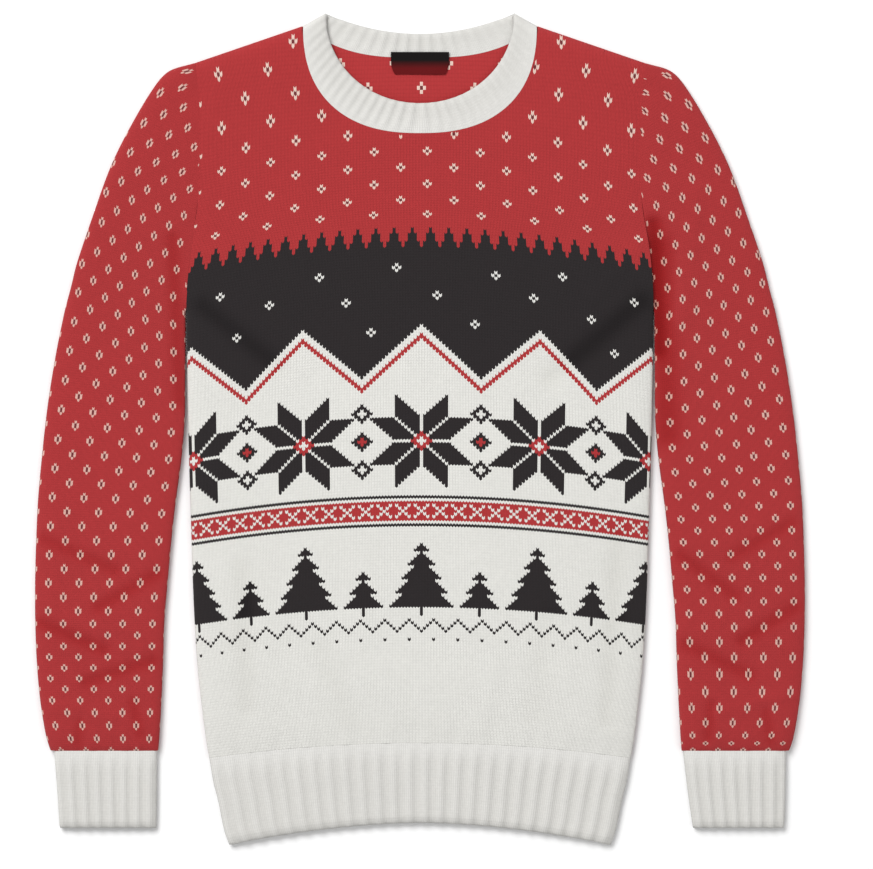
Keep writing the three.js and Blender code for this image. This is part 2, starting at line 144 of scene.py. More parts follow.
# Lines of stitches across the sleeve, from its folded outer edge to the underarm. Above the underarm they run
# on past the armhole, which cuts them off.
SLEEVE = named_rows(
    "outer outer_height inner inner_height top",
    (317.0, 81.0, 224.6, 81.0, 8.9),
    (318.3, 84.5, 224.3, 84.5, 10.0),
    (321.3, 95.0, 223.5, 95.0, 10.8),
    (326.0, 124.0, 221.9, 124.0, 10.4),
    (329.0, 158.0, 220.4, 158.0, 9.9),
    (330.3, 193.0, 219.3, 193.0, 10.3),
    (330.4, 227.0, 216.4, 227.0, 9.8),
    (329.5, 261.0, 213.4, 261.0, 10.2),
    (327.9, 296.0, 209.8, 293.0, 9.8),
    (324.0, 339.0, 204.5, 333.0, 9.9),
    (319.9, 375.0, 201.9, 365.0, 9.8),
    (313.5, 416.0, 201.5, 401.0, 9.8),
    (305.3, 457.0, 201.2, 439.0, 9.8),
    (299.8, 478.0, 200.8, SLEEVE_UNDERARM, 9.8),
    (294.6, 499.0, 196.0, 479.0, 9.8),
    (280.8, 540.0, 184.0, 514.0, 9.8),
    (266.0, 581.0, 170.0, 549.0, 9.8),
    (250.5, 613.0, 155.0, 572.0, 9.8),
    (228.5, 650.0, 143.0, 595.0, 9.8),
    (215.5, 664.0, 133.0, 600.0, 9.8),
    (193.8, 671.0, 122.0, 603.0, 9.8),
)
LEFT_CUFF = named_rows(
    "outer inner height",
    (309.0, 226.5, 14.5),
    (309.6, 226.4, 17.0),
    (311.6, 226.0, 48.0),
    (314.3, 225.8, 80.96),
)
RIGHT_CUFF = named_rows(
    "outer inner height",
    (312.4, 234.6, 14.5),
    (312.9, 234.0, 17.0),
    (313.9, 229.6, 48.0),
    (314.3, 225.8, 80.96),
)

# Below the armholes the back sits a little in from the sides, so that it doesn't show from the front.
BACK_INSET = 2.5
BACK_INSET_FULL = 100.0
BACK_INSET_FADE = 20.0
BACK_STITCH_RELIEF = 0.12

# Knitting. The front is 156 stitches wide and 248 rows long, counted from the rib. The rows are taller over
# the chest and shoulders, where the cloth is pulled up, and they bow: the middle of a row lies higher.
BODY_STITCHES = 156
BODY_ROWS = 248
SLEEVE_STITCHES = 63
SLEEVE_ROWS = 304
ROW_HEIGHTS = named_rows(
    "row height bow",
    (0.0, RIB_SEAM_MIDDLE, RIB_SEAM_DROP),
    (60.0, 231.0, 16.0),
    (120.0, 375.0, 19.0),
    (184.0, 528.0, 23.0),
    (196.5, 554.0, 23.0),
    (208.5, 582.0, 22.0),
    (220.5, 611.0, 20.0),
    (232.5, 650.0, 14.0),
    (248.0, 706.0, 8.0),
)
# Where each row of a sleeve lies along it. The rows crowd where the sleeve slides down over itself.
LEFT_SLEEVE_ROW_PLACES = named_rows(
    "along row",
    (0.0, 0),
    (52.0, 28),
    (95.0, 56),
    (112.0, 66),
    (198.0, 108),
    (604.0, SLEEVE_ROWS),
)
RIGHT_SLEEVE_ROW_PLACES = named_rows(
    "along row",
    (0.0, 0),
    (14.0, 13),
    (43.0, 27),
    (95.0, 48),
    (121.0, 61),
    (259.0, 139),
    (388.0, 203),
    (479.0, 247),
    (576.0, 290),
    (604.0, SLEEVE_ROWS),
)
# Towards the shoulder the stitches run over the sleeve's outer fold, by this share of its width.
SLEEVE_TURN = named_rows(
    "height turn",
    (440.0, 0.0),
    (500.0, 0.07),
    (570.0, 0.21),
    (680.0, 0.28),
)
MIDDLE_SPREAD = 0.045
STITCH_SLANT = 0.5
STITCH_RELIEF = 0.18
SETTLING_ROUNDS = 5
CUT_TOLERANCE = 1e-6
FAR_AWAY = 1e3
# Insides that don't show have one face to this many rows and half stitches.
LINING_STEP = 4

# Gathers where loose cloth meets a tighter rib: two waves that beat, so that they come unevenly
BODY_GATHERS = {"period": 23.0, "depth": 0.45}
SLEEVE_GATHERS = {"period": 19.0, "depth": 0.4}
GATHER_BEAT = 2.7
GATHER_OFFSET = 1.3
GATHER_RISE = 16.0

# Yarns
RED_YARN = "a73335"
WHITE_YARN = "d9d8d3"
RIB_WHITE_YARN = "d7d6d3"
CHARCOAL_YARN = "2a2627"
SPOT_YARN = "dcc0b4"
SLEEVE_SPOT_YARN = "d6aba0"
SPOT_HEART_YARN = "6e3133"


def linear(hex_colour):
    """Linear red, green and blue from an sRGB hex value."""
    parts = np.array([int(hex_colour[i:i + 2], 16) / 255 for i in (0, 2, 4)])
    return np.where(parts <= 0.04045, parts / 12.92, ((parts + 0.055) / 1.055) ** 2.4)


def look_up(table, key, column, at):
    """Reads one column of a table at values of another, smoothly between its rows."""
    keys = np.array([row[key] for row in table], float)
    values = np.array([row[column] for row in table], float)
    slopes = np.empty_like(values)
    slopes[1:-1] = (values[2:] - values[:-2]) / (keys[2:] - keys[:-2])
    slopes[0] = (values[1] - values[0]) / (keys[1] - keys[0])
    slopes[-1] = (values[-1] - values[-2]) / (keys[-1] - keys[-2])
    i = np.clip(np.searchsorted(keys, at) - 1, 0, len(keys) - 2)
    span = keys[i + 1] - keys[i]
    t = np.clip((at - keys[i]) / span, 0, 1)
    ease = t * t * (3 - 2 * t)
    leave = t * (1 - t) ** 2 * span * slopes[i]
    arrive = t * t * (t - 1) * span * slopes[i + 1]
    return values[i] * (1 - ease) + values[i + 1] * ease + leave + arrive


def mix(a, b, t):
    return a + (b - a) * t


def reach(value, power):
    return np.sign(value) * np.abs(value) ** (2 / power)


def bell(distance, width):
    """Falls smoothly from 1 at no distance towards 0, mostly within this width."""
    return np.exp(-(distance / width) ** 2)


def rise(share):
    """How far the cloth has risen beside a fold: 0 at the fold, 1 where it lies flat."""
    return np.cbrt(1 - (1 - np.clip(share, 0, 1)) ** 3)


def inside_shift(share):
    """The inside of a fold sits one wall further in than the outside."""
    return WALL * (1 - np.clip(share, 0, 1))


def distance_to_segment(x, y, start, end):
    start, end = np.array(start), np.array(end)
    line = end - start
    t = np.clip(((x - start[0]) * line[0] + (y - start[1]) * line[1]) / (line @ line), 0, 1)
    return np.hypot(x - start[0] - t * line[0], y - start[1] - t * line[1])


class FoldArc:
    """Turns a length of cloth measured round a folded edge into a distance across the flat garment."""

    def __init__(self, width, height):
        self.across = width * np.linspace(0, 1, 400) ** 2
        up = height * rise(self.across / width)
        steps = np.hypot(np.diff(self.across), np.diff(up))
        self.along = np.concatenate([[0], np.cumsum(steps)])
        self.extra = self.along[-1] - width

    def flatten(self, length):
        beyond = length - self.extra
        return np.where(length < self.along[-1], np.interp(length, self.along, self.across), beyond)

    def round_tube(self, around, width):
        """Distance from the outer fold of a flat tube: 0 to 1 goes over the top, and 1 to 2 underneath."""
        t = np.where(around <= 1, around, 2 - around)
        total = width + 2 * self.extra
        near = self.flatten(t * total)
        far = width - self.flatten((1 - t) * total)
        return np.where(t < 0.5, near, far)


BODY_ARC = FoldArc(BODY_FOLD, MIDDLE)
SLEEVE_ARC = FoldArc(SLEEVE_FOLD, MIDDLE)
RIB_ARC = FoldArc(RIB_FOLD, RIB_HEIGHT / 2)


def side_half(height):
    return look_up(SIDE, "height", "half", height)


def hem_height(x):
    return HEM_ARCH * (1 - np.clip(np.abs(x) / HEM_HALF, 0, 1) ** HEM_ARCH_POWER)


def rib_seam_height(x):
    return RIB_SEAM_MIDDLE - RIB_SEAM_DROP * (x / RIB_SEAM_HALF) ** 2


def shoulder_height(x):
    return mix(NECK_TOP, SHOULDER_TOP, (np.abs(x) - NECK_HALF) / (SHOULDER_HALF - NECK_HALF))


def front_neck_height(x):
    share = np.clip(np.abs(x) / NECK_HALF, 0, 1)
    return NECK_TOP - NECK_DEPTH * (1 - share ** NECK_POWER) ** (1 / NECK_POWER)


def back_neck_height(x):
    share = np.clip(np.abs(x) / NECK_HALF, 0, 1)
    return NECK_TOP - BACK_NECK_DROP * (1 - share ** BACK_NECK_POWER)


# Soft creases, from start to end: depth is how far the middle rises or sinks, and width how far it spreads.
FRONT_CREASES = named_rows(
    "start end depth width",
    ((-186, 462), (-118, 408), -0.7, 8),
    ((190, 466), (112, 400), -0.9, 9),
    ((194, 520), (150, 470), 0.7, 7),
    ((-148, 118), (-152, 235), -0.8, 9),
    ((160, 108), (170, 262), -0.9, 9),
    ((-60, 104), (-84, 168), -0.5, 10),
    ((52, 104), (64, 150), 0.5, 9),
    ((98, 112), (110, 190), -0.45, 11),
)
LEFT_SLEEVE_CREASES = named_rows(
    "start end depth width",
    ((-212, 520), (-206, 380), -0.8, 6),
    ((-322, 262), (-262, 236), -0.7, 6),
    ((-226, 232), (-276, 204), -0.8, 6),
    ((-324, 190), (-272, 168), -0.9, 6),
    ((-230, 158), (-286, 140), -0.8, 6),
    ((-314, 118), (-262, 110), 0.8, 6),
    ((-246, 122), (-240, 96), -0.7, 5),
    ((-290, 112), (-294, 88), -0.6, 5),
)
RIGHT_SLEEVE_CREASES = named_rows(
    "start end depth width",
    ((200, 532), (205, 424), -2.3, 7),
    ((206, 512), (212, 352), -1.2, 12),
    ((238, 560), (226, 452), 0.8, 9),
    ((318, 276), (268, 248), -0.7, 6),
    ((224, 248), (270, 214), -0.8, 6),
    ((322, 204), (276, 176), -0.9, 6),
    ((228, 172), (282, 146), -0.8, 6),
    ((312, 128), (258, 114), 0.8, 6),
    ((250, 120), (247, 94), -0.7, 5),
    ((296, 116), (300, 90), -0.6, 5),
)

# Painted shade in creases: how much darker the yarn is painted for each millimetre that a trough sinks
TROUGH_PAINTED_SHADE = 0.15


def crease_relief(x, y, creases):
    """Height that the soft creases add at each place."""
    total = np.zeros_like(x)
    for crease in creases:
        away = distance_to_segment(x, y, crease["start"], crease["end"])
        total += crease["depth"] * bell(away, crease["width"])
    return total


def crease_painted_shade(relief):
    """Painted shade in creases: the lower a trough lies, the darker its colour is painted. The yarn's
    colour is raised to this power."""
    return 1 - TROUGH_PAINTED_SHADE * np.minimum(relief, 0)


def gathers(x, above, period, depth):
    """Small gathers where loose cloth meets a tighter rib. They die out a little way above the seam."""
    waves = np.sin(2 * np.pi * x / period) * np.sin(2 * np.pi * x / (period * GATHER_BEAT) + GATHER_OFFSET)
    return depth * waves * bell(above, GATHER_RISE)


def stitch_relief(column):
    """The middle of each column of stitches stands a little higher than its edges."""
    return np.where(column % 2 == 1, STITCH_RELIEF, -STITCH_RELIEF)


def slanted_rows(column, row, rows):
    """Half stitches lean into the middle of their stitch, which makes the V of plain knitting."""
    inner = (row > 0) & (row < rows)
    return row - np.where(inner & (column % 2 == 1), STITCH_SLANT, 0)


def body_across(u, y):
    """Where a column of stitches lies across the body, by its share from the middle line to the side. The
    columns are a little wider in the middle, where the cloth is stretched."""
    u = u * (1 + MIDDLE_SPREAD) - MIDDLE_SPREAD * u ** 3
    side = side_half(y)
    joined = np.clip((y - UNDERARM_HEIGHT) / SLEEVE_FOLD, 0, 1)
    total = side + BODY_ARC.extra * (1 - joined)
    edge = total * (1 - np.abs(u))
    from_side = mix(BODY_ARC.flatten(edge), edge, joined)
    return np.sign(u) * (side - from_side)


def body_grid(columns, rows, neck_height, slanted):
    """Places on the body for a grid of stitches or half stitches, cut off at the shoulders and the neckline.
    Where a stitch lies across and how high it lies depend on each other, so the two are settled in turn."""
    column, row = np.meshgrid(np.arange(columns + 1), np.arange(rows + 1))
    u = 2 * column / columns - 1
    knit_row = (slanted_rows(column, row, rows) if slanted else row) * (BODY_ROWS / rows)
    bow = look_up(ROW_HEIGHTS, "row", "bow", knit_row)
    middle_y = look_up(ROW_HEIGHTS, "row", "height", knit_row)
    y = middle_y - bow * u * u
    for _ in range(SETTLING_ROUNDS):
        x = body_across(u, y)
        free_y = middle_y - bow * (x / np.where(row == 0, RIB_SEAM_HALF, side_half(y))) ** 2
        top = np.where(np.abs(x) > NECK_HALF, shoulder_height(x), neck_height(x) - SEAM_GAP)
        y = np.minimum(free_y, top)
    return column, x, y, free_y > y + CUT_TOLERANCE


def body_folds(x, y):
    above_underarm = np.maximum(0, y - UNDERARM_HEIGHT)
    from_side = side_half(y) - np.abs(x)
    from_shoulder = distance_to_segment(
        np.abs(x), y, (NECK_HALF, NECK_TOP), (SHOULDER_HALF, SHOULDER_TOP))
    side = from_side / BODY_FOLD + above_underarm / SLEEVE_FOLD
    shoulder = from_shoulder / SLEEVE_FOLD
    dip = np.where(above_underarm > 0, SEAM_DIP * bell(from_side, SEAM_DIP_WIDTH), 0)
    return side, shoulder, dip


def inside_of_body(x, y, side, shoulder, inside, seam):
    flat = rise(side) * rise(shoulder)
    inside_y = y - inside_shift(shoulder)
    inside_x = x * side_half(inside_y) / side_half(y) - np.sign(x) * inside_shift(side)
    return np.stack([inside_x, inside_y, mix(seam, inside, flat)], axis=-1)


def front_skins():
    columns, rows = 2 * BODY_STITCHES, BODY_ROWS
    seam = MIDDLE + SEAM_GAP / 2
    column, x, y, gone = body_grid(columns, rows, front_neck_height, True)
    side, shoulder, dip = body_folds(x, y)
    above = y - rib_seam_height(x)
    top = look_up(BLOUSE, "above", "top", above) - dip
    relief = crease_relief(x, y, FRONT_CREASES)
    top += relief + gathers(x, above, **BODY_GATHERS) + stitch_relief(column)
    flat = rise(side) * rise(shoulder)
    outside = np.stack([x, y, mix(seam, top, flat)], axis=-1)
    _, x, y, lining_gone = body_grid(
        columns // LINING_STEP, rows // LINING_STEP, front_neck_height, False)
    side, shoulder, _ = body_folds(x, y)
    above = y - rib_seam_height(x)
    inside_top = np.minimum(look_up(BLOUSE, "above", "top", above), BODY_HEIGHT) - WALL
    inside_top += np.minimum(crease_relief(x, y, FRONT_CREASES), 0)
    inside = inside_of_body(x, y, side, shoulder, inside_top, seam)
    # The outer skin carries painted shade in its creases
    return (outside, gone, crease_painted_shade(relief)), (inside, lining_gone, None)


def back_skins():
    """The back has a face to each whole stitch, on both skins, because its inside shows at the neck."""
    seam = MIDDLE - SEAM_GAP / 2
    column, x, y, gone = body_grid(BODY_STITCHES, BODY_ROWS, back_neck_height, False)
    side, shoulder, _ = body_folds(x, y)
    towards_side = np.clip(np.abs(x) / BACK_INSET_FULL, 0, 1)
    below_armhole = np.clip((UNDERARM_HEIGHT - y) / BACK_INSET_FADE, 0, 1)
    x = x - np.sign(x) * BACK_INSET * towards_side * below_armhole
    flat = rise(side) * rise(shoulder)
    outside = np.stack([x, y, mix(seam, 0 * x, flat)], axis=-1)
    inside_height = WALL + BACK_STITCH_RELIEF * (-1.0) ** column
    inside = inside_of_body(x, y, side, shoulder, inside_height, seam)
    return (outside, gone, None), (inside, gone, None)


def sleeve_table(places):
    """The sleeve's sections with the row of knitting that each one is on."""
    centres = np.array([[(s["outer"] + s["inner"]) / 2, (s["outer_height"] + s["inner_height"]) / 2]
                        for s in SLEEVE])
    steps = np.hypot(*np.diff(centres, axis=0).T)
    along = np.concatenate([[0], np.cumsum(steps)])
    rows = look_up(places, "along", "row", along * places[-1]["along"] / along[-1])
    turns = look_up(SLEEVE_TURN, "height", "turn", centres[:, 1])
    return [dict(section, row=row, turn=turn) for section, row, turn in zip(SLEEVE, rows, turns)]


def cut_at_armhole(x, y):
    """Ends each column of stitches where it meets the armhole. Returns what lies past it."""
    beyond = np.where(y > UNDERARM_HEIGHT, np.abs(x) - side_half(y) + SEAM_TUCK, SEAM_GAP)
    gone = np.zeros(x.shape, bool)
    for column in range(x.shape[1]):
        past = np.nonzero(beyond[:, column] < 0)[0]
        if len(past) == 0:
            continue
        row = past[0]
        before, after = beyond[row - 1, column], beyond[row, column]
        t = before / (before - after)
        x[row:, column] = mix(x[row - 1, column], x[row, column], t)
        y[row:, column] = mix(y[row - 1, column], y[row, column], t)
        gone[row:, column] = True
    return gone


def sleeve_skin(step, is_outside, creases, places, side_sign):
    """One skin of a sleeve: over the top from the outer fold to the underarm, then back underneath."""
    columns = 4 * SLEEVE_STITCHES // step
    rows = SLEEVE_ROWS // step
    table = sleeve_table(places)
    column, row = np.meshgrid(np.arange(columns + 1), np.arange(rows + 1))
    knit_row = (slanted_rows(column, row, rows) if is_outside else row) * (SLEEVE_ROWS / rows)
    around = (2 * column / columns - look_up(table, "row", "turn", knit_row)) % 2
    outer_x, outer_y = (look_up(table, "row", name, knit_row) for name in ("outer", "outer_height"))
    inner_x, inner_y = (look_up(table, "row", name, knit_row) for name in ("inner", "inner_height"))
    width = np.hypot(outer_x - inner_x, outer_y - inner_y)
    distance = SLEEVE_ARC.round_tube(around, width)
    x = mix(outer_x, inner_x, distance / width)
    y = mix(outer_y, inner_y, distance / width)
    gone = cut_at_armhole(x, y)
    from_underarm = np.where(
        y < UNDERARM_HEIGHT,
        x - look_up(table, "inner_height", "inner", np.minimum(y, SLEEVE_UNDERARM)),
        np.hypot(x - side_half(UNDERARM_HEIGHT), y - UNDERARM_HEIGHT))
    outer_share = distance / SLEEVE_FOLD
    inner_share = np.maximum(from_underarm, 0) / SLEEVE_FOLD
    flat = rise(outer_share) * rise(inner_share)
    armhole = np.where(y > UNDERARM_HEIGHT, x - side_half(y), FAR_AWAY)
    top = look_up(table, "row", "top", knit_row) - SEAM_DIP * bell(armhole, SEAM_DIP_WIDTH)
    is_top = around <= 1
    across = (inner_x - outer_x) / width
    up = (inner_y - outer_y) / width
    relief = crease_relief(side_sign * x, y, creases)
    shade = None
    if is_outside:
        above = y - SLEEVE[0]["outer_height"]
        top = top + relief + gathers(x, above, **SLEEVE_GATHERS)
        # Painted shade in the creases on the top of the sleeve
        shade = np.where(is_top, crease_painted_shade(relief), 1)
        top = top + stitch_relief(column)
        z = mix(MIDDLE, np.where(is_top, top, 0), flat)
    else:
        hollow = np.minimum(relief, 0)
        shift = inside_shift(outer_share) - inside_shift(inner_share)
        x = x + across * shift
        y = y + up * shift
        z = mix(MIDDLE, np.where(is_top, np.minimum(top, BODY_HEIGHT) + hollow - WALL, WALL), flat)
    return np.stack([side_sign * x, y, z], axis=-1), gone, shade


# Ribbing: each rib is a rounded ridge of plain stitches beside a sunken groove, eight columns to a rib.
RIB_COLUMNS = 8
RIB_RIDGE_SHARE = 0.56
RIB_RAISE = 1.3
RIB_START = 12.0
# Painted shade on ribbing: throughout, further below the seam, and in the grooves
RIB_PAINTED_SHADE_AT_SEAM = 0.27
RIB_PAINTED_SHADE_BELOW_SEAM = 0.14
GROOVE_PAINTED_SHADE = 0.12
RIB_BASE = 0.3
RIB_CROWN = 0.7
RIB_SINK = 0.5
RIB_ROUNDNESS = 0.6
UNDER_RIB_SHARE = 0.3
EDGE_ROUNDING = 2.5
EDGE_ROWS = 1.3
HEM_RIBS = 26
HEM_ROWS = 30
CUFF_RIBS = 8
CUFF_ROWS = 28
COLLAR_FRONT_RIBS = 32
COLLAR_BACK_RIBS = 18
COLLAR_ROWS = 12


def below_seam(distance, top):
    """Next to the seam the ribbing is level with the cloth that it is knitted on to."""
    return mix(SEAM_TOP, top, 1 - bell(distance, RIB_START))


def rib_painted_shade(groove, distance):
    """Painted shade on ribbing: the yarn's colour is raised to this power, a little darker throughout, more
    away from the seam, and most of all in the grooves.
    """
    away = 1 - bell(distance, RIB_START)
    return 1 + RIB_PAINTED_SHADE_AT_SEAM + (RIB_PAINTED_SHADE_BELOW_SEAM + GROOVE_PAINTED_SHADE * groove) * away


def rib_columns(ribs):
    """Shares across a ribbed width, with the height of the ribbing and the depth of its grooves at each."""
    half = RIB_COLUMNS // 2
    ridge = np.linspace(0, RIB_RIDGE_SHARE, half, endpoint=False)
    groove = np.linspace(RIB_RIDGE_SHARE, 1, half, endpoint=False)
    one = np.concatenate([ridge, groove])
    shares = np.concatenate([(one + rib) / ribs for rib in range(ribs)] + [[1.0]])
    phase = (shares * ribs) % 1
    on_ridge = np.sin(np.pi * np.clip(phase / RIB_RIDGE_SHARE, 0, 1))
    in_groove = np.sin(np.pi * np.clip((phase - RIB_RIDGE_SHARE) / (1 - RIB_RIDGE_SHARE), 0, 1))
    rounded = on_ridge ** RIB_ROUNDNESS
    height = RIB_RAISE * (RIB_BASE + RIB_CROWN * rounded - RIB_SINK * in_groove)
    return shares, height, 1 - rounded


def hem_skins(is_front):
    shares, ribbing, grooves = rib_columns(HEM_RIBS)
    share, row = np.meshgrid(shares, np.arange(HEM_ROWS + 1))
    up = row / HEM_ROWS
    half = look_up(RIB_SIDE, "share", "half", up)
    u = 2 * share - 1
    total = half + RIB_ARC.extra
    from_side = RIB_ARC.flatten(total * (1 - np.abs(u)))
    x = np.sign(u) * (half - from_side)
    level = x / half
    seam = rib_seam_height(level * RIB_SEAM_HALF) - SEAM_GAP / 2
    y = mix(hem_height(level * HEM_HALF), seam, up)
    flat = rise(from_side / RIB_FOLD)
    edge_rounding = EDGE_ROUNDING * bell(up * HEM_ROWS, EDGE_ROWS)
    middle = RIB_HEIGHT / 2 + (SEAM_GAP / 2 if is_front else -SEAM_GAP / 2)
    rib = np.broadcast_to(ribbing, x.shape)
    top = below_seam(seam - y, RIB_HEIGHT + rib - edge_rounding) if is_front else 0 * x
    under = RIB_HEIGHT - WALL + 0 * x if is_front else WALL + UNDER_RIB_SHARE * rib
    inside_x = x - np.sign(x) * inside_shift(from_side / RIB_FOLD)
    outside = np.stack([x, y, mix(middle, top, flat)], axis=-1)
    inside = np.stack([inside_x, y, mix(middle, under, flat)], axis=-1)
    none = np.zeros(x.shape, bool)
    # Painted shade on the rib and in its grooves
    shade = rib_painted_shade(grooves, seam - y)
    return (outside, none, shade), (inside, none, shade)


def cuff_skins(cuff, side_sign):
    shares, ribbing, grooves = rib_columns(2 * CUFF_RIBS)
    around, row = np.meshgrid(2 * shares, np.arange(CUFF_ROWS + 1))
    low, high = cuff[0]["height"], cuff[-1]["height"]
    y = mix(low, high, row / CUFF_ROWS)
    outer = look_up(cuff, "height", "outer", y)
    inner = look_up(cuff, "height", "inner", y)
    width = outer - inner
    distance = RIB_ARC.round_tube(around, width)
    share = np.minimum(distance, width - distance) / RIB_FOLD
    flat = rise(share)
    rib = np.broadcast_to(ribbing, around.shape)
    edge_rounding = EDGE_ROUNDING * bell(row, EDGE_ROWS)
    is_top = around <= 1
    top = below_seam(high - y, RIB_HEIGHT + rib - edge_rounding)
    outside_z = mix(RIB_HEIGHT / 2, np.where(is_top, top, 0), flat)
    inside_z = mix(RIB_HEIGHT / 2, np.where(is_top, RIB_HEIGHT - WALL, WALL), flat)
    inward = np.where(distance < width / 2, -1, 1) * inside_shift(share)
    outside = np.stack([side_sign * (outer - distance), y, outside_z], axis=-1)
    inside = np.stack([side_sign * (outer - distance + inward), y, inside_z], axis=-1)
    none = np.zeros(around.shape, bool)
    # Painted shade on the cuff's ribs and in their grooves
    shade = rib_painted_shade(grooves, high - y)
    return (outside, none, shade), (inside, none, shade)


def neckband_skins():
    """A ring: along the front from the left shoulder to the right one, then along the back to the left."""
    front_shares, front_rib, front_grooves = rib_columns(COLLAR_FRONT_RIBS)
    back_shares, back_rib, back_grooves = rib_columns(COLLAR_BACK_RIBS)
    angle = mix(-np.pi / 2, np.pi / 2, front_shares[:-1])
    front_sewn = np.stack([NECK_HALF * reach(np.sin(angle), NECK_POWER),
                           NECK_TOP - NECK_DEPTH * reach(np.cos(angle), NECK_POWER)], axis=-1)
    front_free = np.stack([COLLAR_HALF * reach(np.sin(angle), COLLAR_POWER),
                           COLLAR_TOP - COLLAR_DEPTH * reach(np.cos(angle), COLLAR_POWER)], axis=-1)
    across = mix(1, -1, back_shares)
    away = np.abs(across)
    back_sewn = np.stack([NECK_HALF * across,
                          NECK_TOP - BACK_NECK_DROP * (1 - away ** BACK_NECK_POWER)], axis=-1)
    back_free = np.stack([COLLAR_HALF * across,
                          COLLAR_TOP - BACK_COLLAR_DROP * (1 - away ** BACK_COLLAR_POWER)], axis=-1)
    sewn = np.concatenate([front_sewn, back_sewn])
    free = np.concatenate([front_free, back_free])
    is_front = np.concatenate([np.ones(len(angle), bool), np.zeros(len(across), bool)])
    rib = np.concatenate([front_rib[:-1], back_rib])
    grooves = np.concatenate([front_grooves[:-1], back_grooves])
    to_free = (np.arange(COLLAR_ROWS + 1) / COLLAR_ROWS)[:, None]
    x = mix(sewn[None, :, 0], free[None, :, 0], to_free)
    y = mix(sewn[None, :, 1], free[None, :, 1], to_free)
    fold = np.array([COLLAR_HALF - NECK_HALF, COLLAR_TOP - NECK_TOP])
    fold = fold / np.linalg.norm(fold)
    share = distance_to_segment(np.abs(x), y, (NECK_HALF, NECK_TOP), (COLLAR_HALF, COLLAR_TOP)) / COLLAR_FOLD
    flat = rise(share)
    shift = inside_shift(share)
    sag = COLLAR_SAG * to_free
    rounding = COLLAR_ROUNDING * bell((1 - to_free) * COLLAR_ROWS, COLLAR_ROUNDING_ROWS)
    # The band is stretched over the shoulders, where its ribs are nearly flat and their grooves get less
    # painted shade
    to_side = np.concatenate([np.abs(np.sin(angle)), away])
    rib = mix(COLLAR_RIB_SHARE, COLLAR_SIDE_RIB_SHARE, to_side) * rib
    rib = rib * (1 - bell(to_free * COLLAR_ROWS, COLLAR_RIB_START_ROWS))
    grooves = mix(1, COLLAR_SIDE_GROOVE_SHARE, to_side) * grooves
    top = BODY_HEIGHT - sag
    outside_z = mix(MIDDLE, np.where(is_front, top + rib - rounding, 0), flat)
    inside_z = mix(MIDDLE, np.where(is_front, top - WALL, WALL + rib - rounding), flat)
    outside = np.stack([x, y, outside_z], axis=-1)
    inside = np.stack([x - np.sign(x) * fold[1] * shift, y + fold[0] * shift, inside_z], axis=-1)
    none = np.zeros(x.shape, bool)
    # Painted shade on the band's ribs and in their grooves, and the whole band a little darker
    shade = rib_painted_shade(grooves, COLLAR_WIDTH * to_free) + COLLAR_DEEPENING
    return (outside, none, shade), (inside, none, shade)


# Charts. Each takes stitch and row numbers and says which yarn each stitch is knitted in.
RED, WHITE, RIB_WHITE, CHARCOAL, SPOT_RING, SLEEVE_SPOT_RING, SPOT_HEART = range(7)
YARNS = np.array([linear(yarn) for yarn in (
    RED_YARN, WHITE_YARN, RIB_WHITE_YARN, CHARCOAL_YARN, SPOT_YARN, SLEEVE_SPOT_YARN, SPOT_HEART_YARN)])
BODY_SPOTS = {"stitches": 18, "rows": 12, "heart": 1, "ring": SPOT_RING}
SLEEVE_SPOTS = {"stitches": 14, "rows": 12, "heart": 2, "ring": SLEEVE_SPOT_RING}
FRONT_SPOTS = {**BODY_SPOTS, "first_stitch": BODY_STITCHES // 2 + 2, "first_row": 214}
BACK_SPOTS = {**BODY_SPOTS, "first_stitch": BODY_STITCHES // 2, "first_row": 4}
LEFT_SLEEVE_SPOTS = {**SLEEVE_SPOTS, "first_stitch": 0, "first_row": 5}
RIGHT_SLEEVE_SPOTS = {**SLEEVE_SPOTS, "first_stitch": 13, "first_row": 0}
SPOT_REACH = 2


def spotted(stitch, row, spots):
    """Small pale rings round a dark heart on red, every other column dropped by half."""
    yarn = np.full(stitch.shape, RED)
    for across, up in ((0, 0), (spots["stitches"] // 2, spots["rows"] // 2)):
        dx = (stitch - spots["first_stitch"] - across + SPOT_REACH) % spots["stitches"] - SPOT_REACH
        dy = (row - spots["first_row"] - up + SPOT_REACH) % spots["rows"] - SPOT_REACH
        level = (dy >= 0) & (dy < spots["heart"])
        yarn[(dx == 0) & ((dy == -1) | (dy == spots["heart"]))] = spots["ring"]
        yarn[(np.abs(dx) == 1) & level] = spots["ring"]
        yarn[(dx == 0) & level] = SPOT_HEART
    return yarn


def spotted_chart(spots):
    return lambda stitch, row: spotted(stitch, row, spots)


# The bands of motifs on the front, bottom to top, in rows and stitches
ZIGZAG_ROW = 40
ZIGZAG_STEP = 8
DOT_DROP = 3
FIR_ROW = 46
FIR_STEP = 38
FIRS = named_rows(
    "offset tiers",
    (0, 5),
    (FIR_STEP // 2, 3),
)
TRUNK_ROWS = 3
TIER_ROWS = 5
BAND_ROW = 80
BAND_ROWS = 7
CROSS_STEP = 6
STAR_ROW = 108
STAR_STEP = 38
STAR_RADIUS = 16
DIAMOND_SIZE = 3
DIAMOND_HEART = 1
DIAMOND_RISE = 10
PEAK_TOP_ROW = 150
RIDGE_LINE = (-5, -4)
FLAKES = named_rows(
    "across row",
    (-66, 166),
    (-60, 150),
    (-49, 160),
    (-33, 168),
    (-24, 158),
    (-16, 147),
    (-8, 170),
    (5, 160),
    (17, 150),
    (24, 168),
    (36, 161),
    (46, 170),
    (55, 156),
    (63, 145),
    (70, 165),
)
TEETH_ROW = 178
TOOTH_STEP = 6
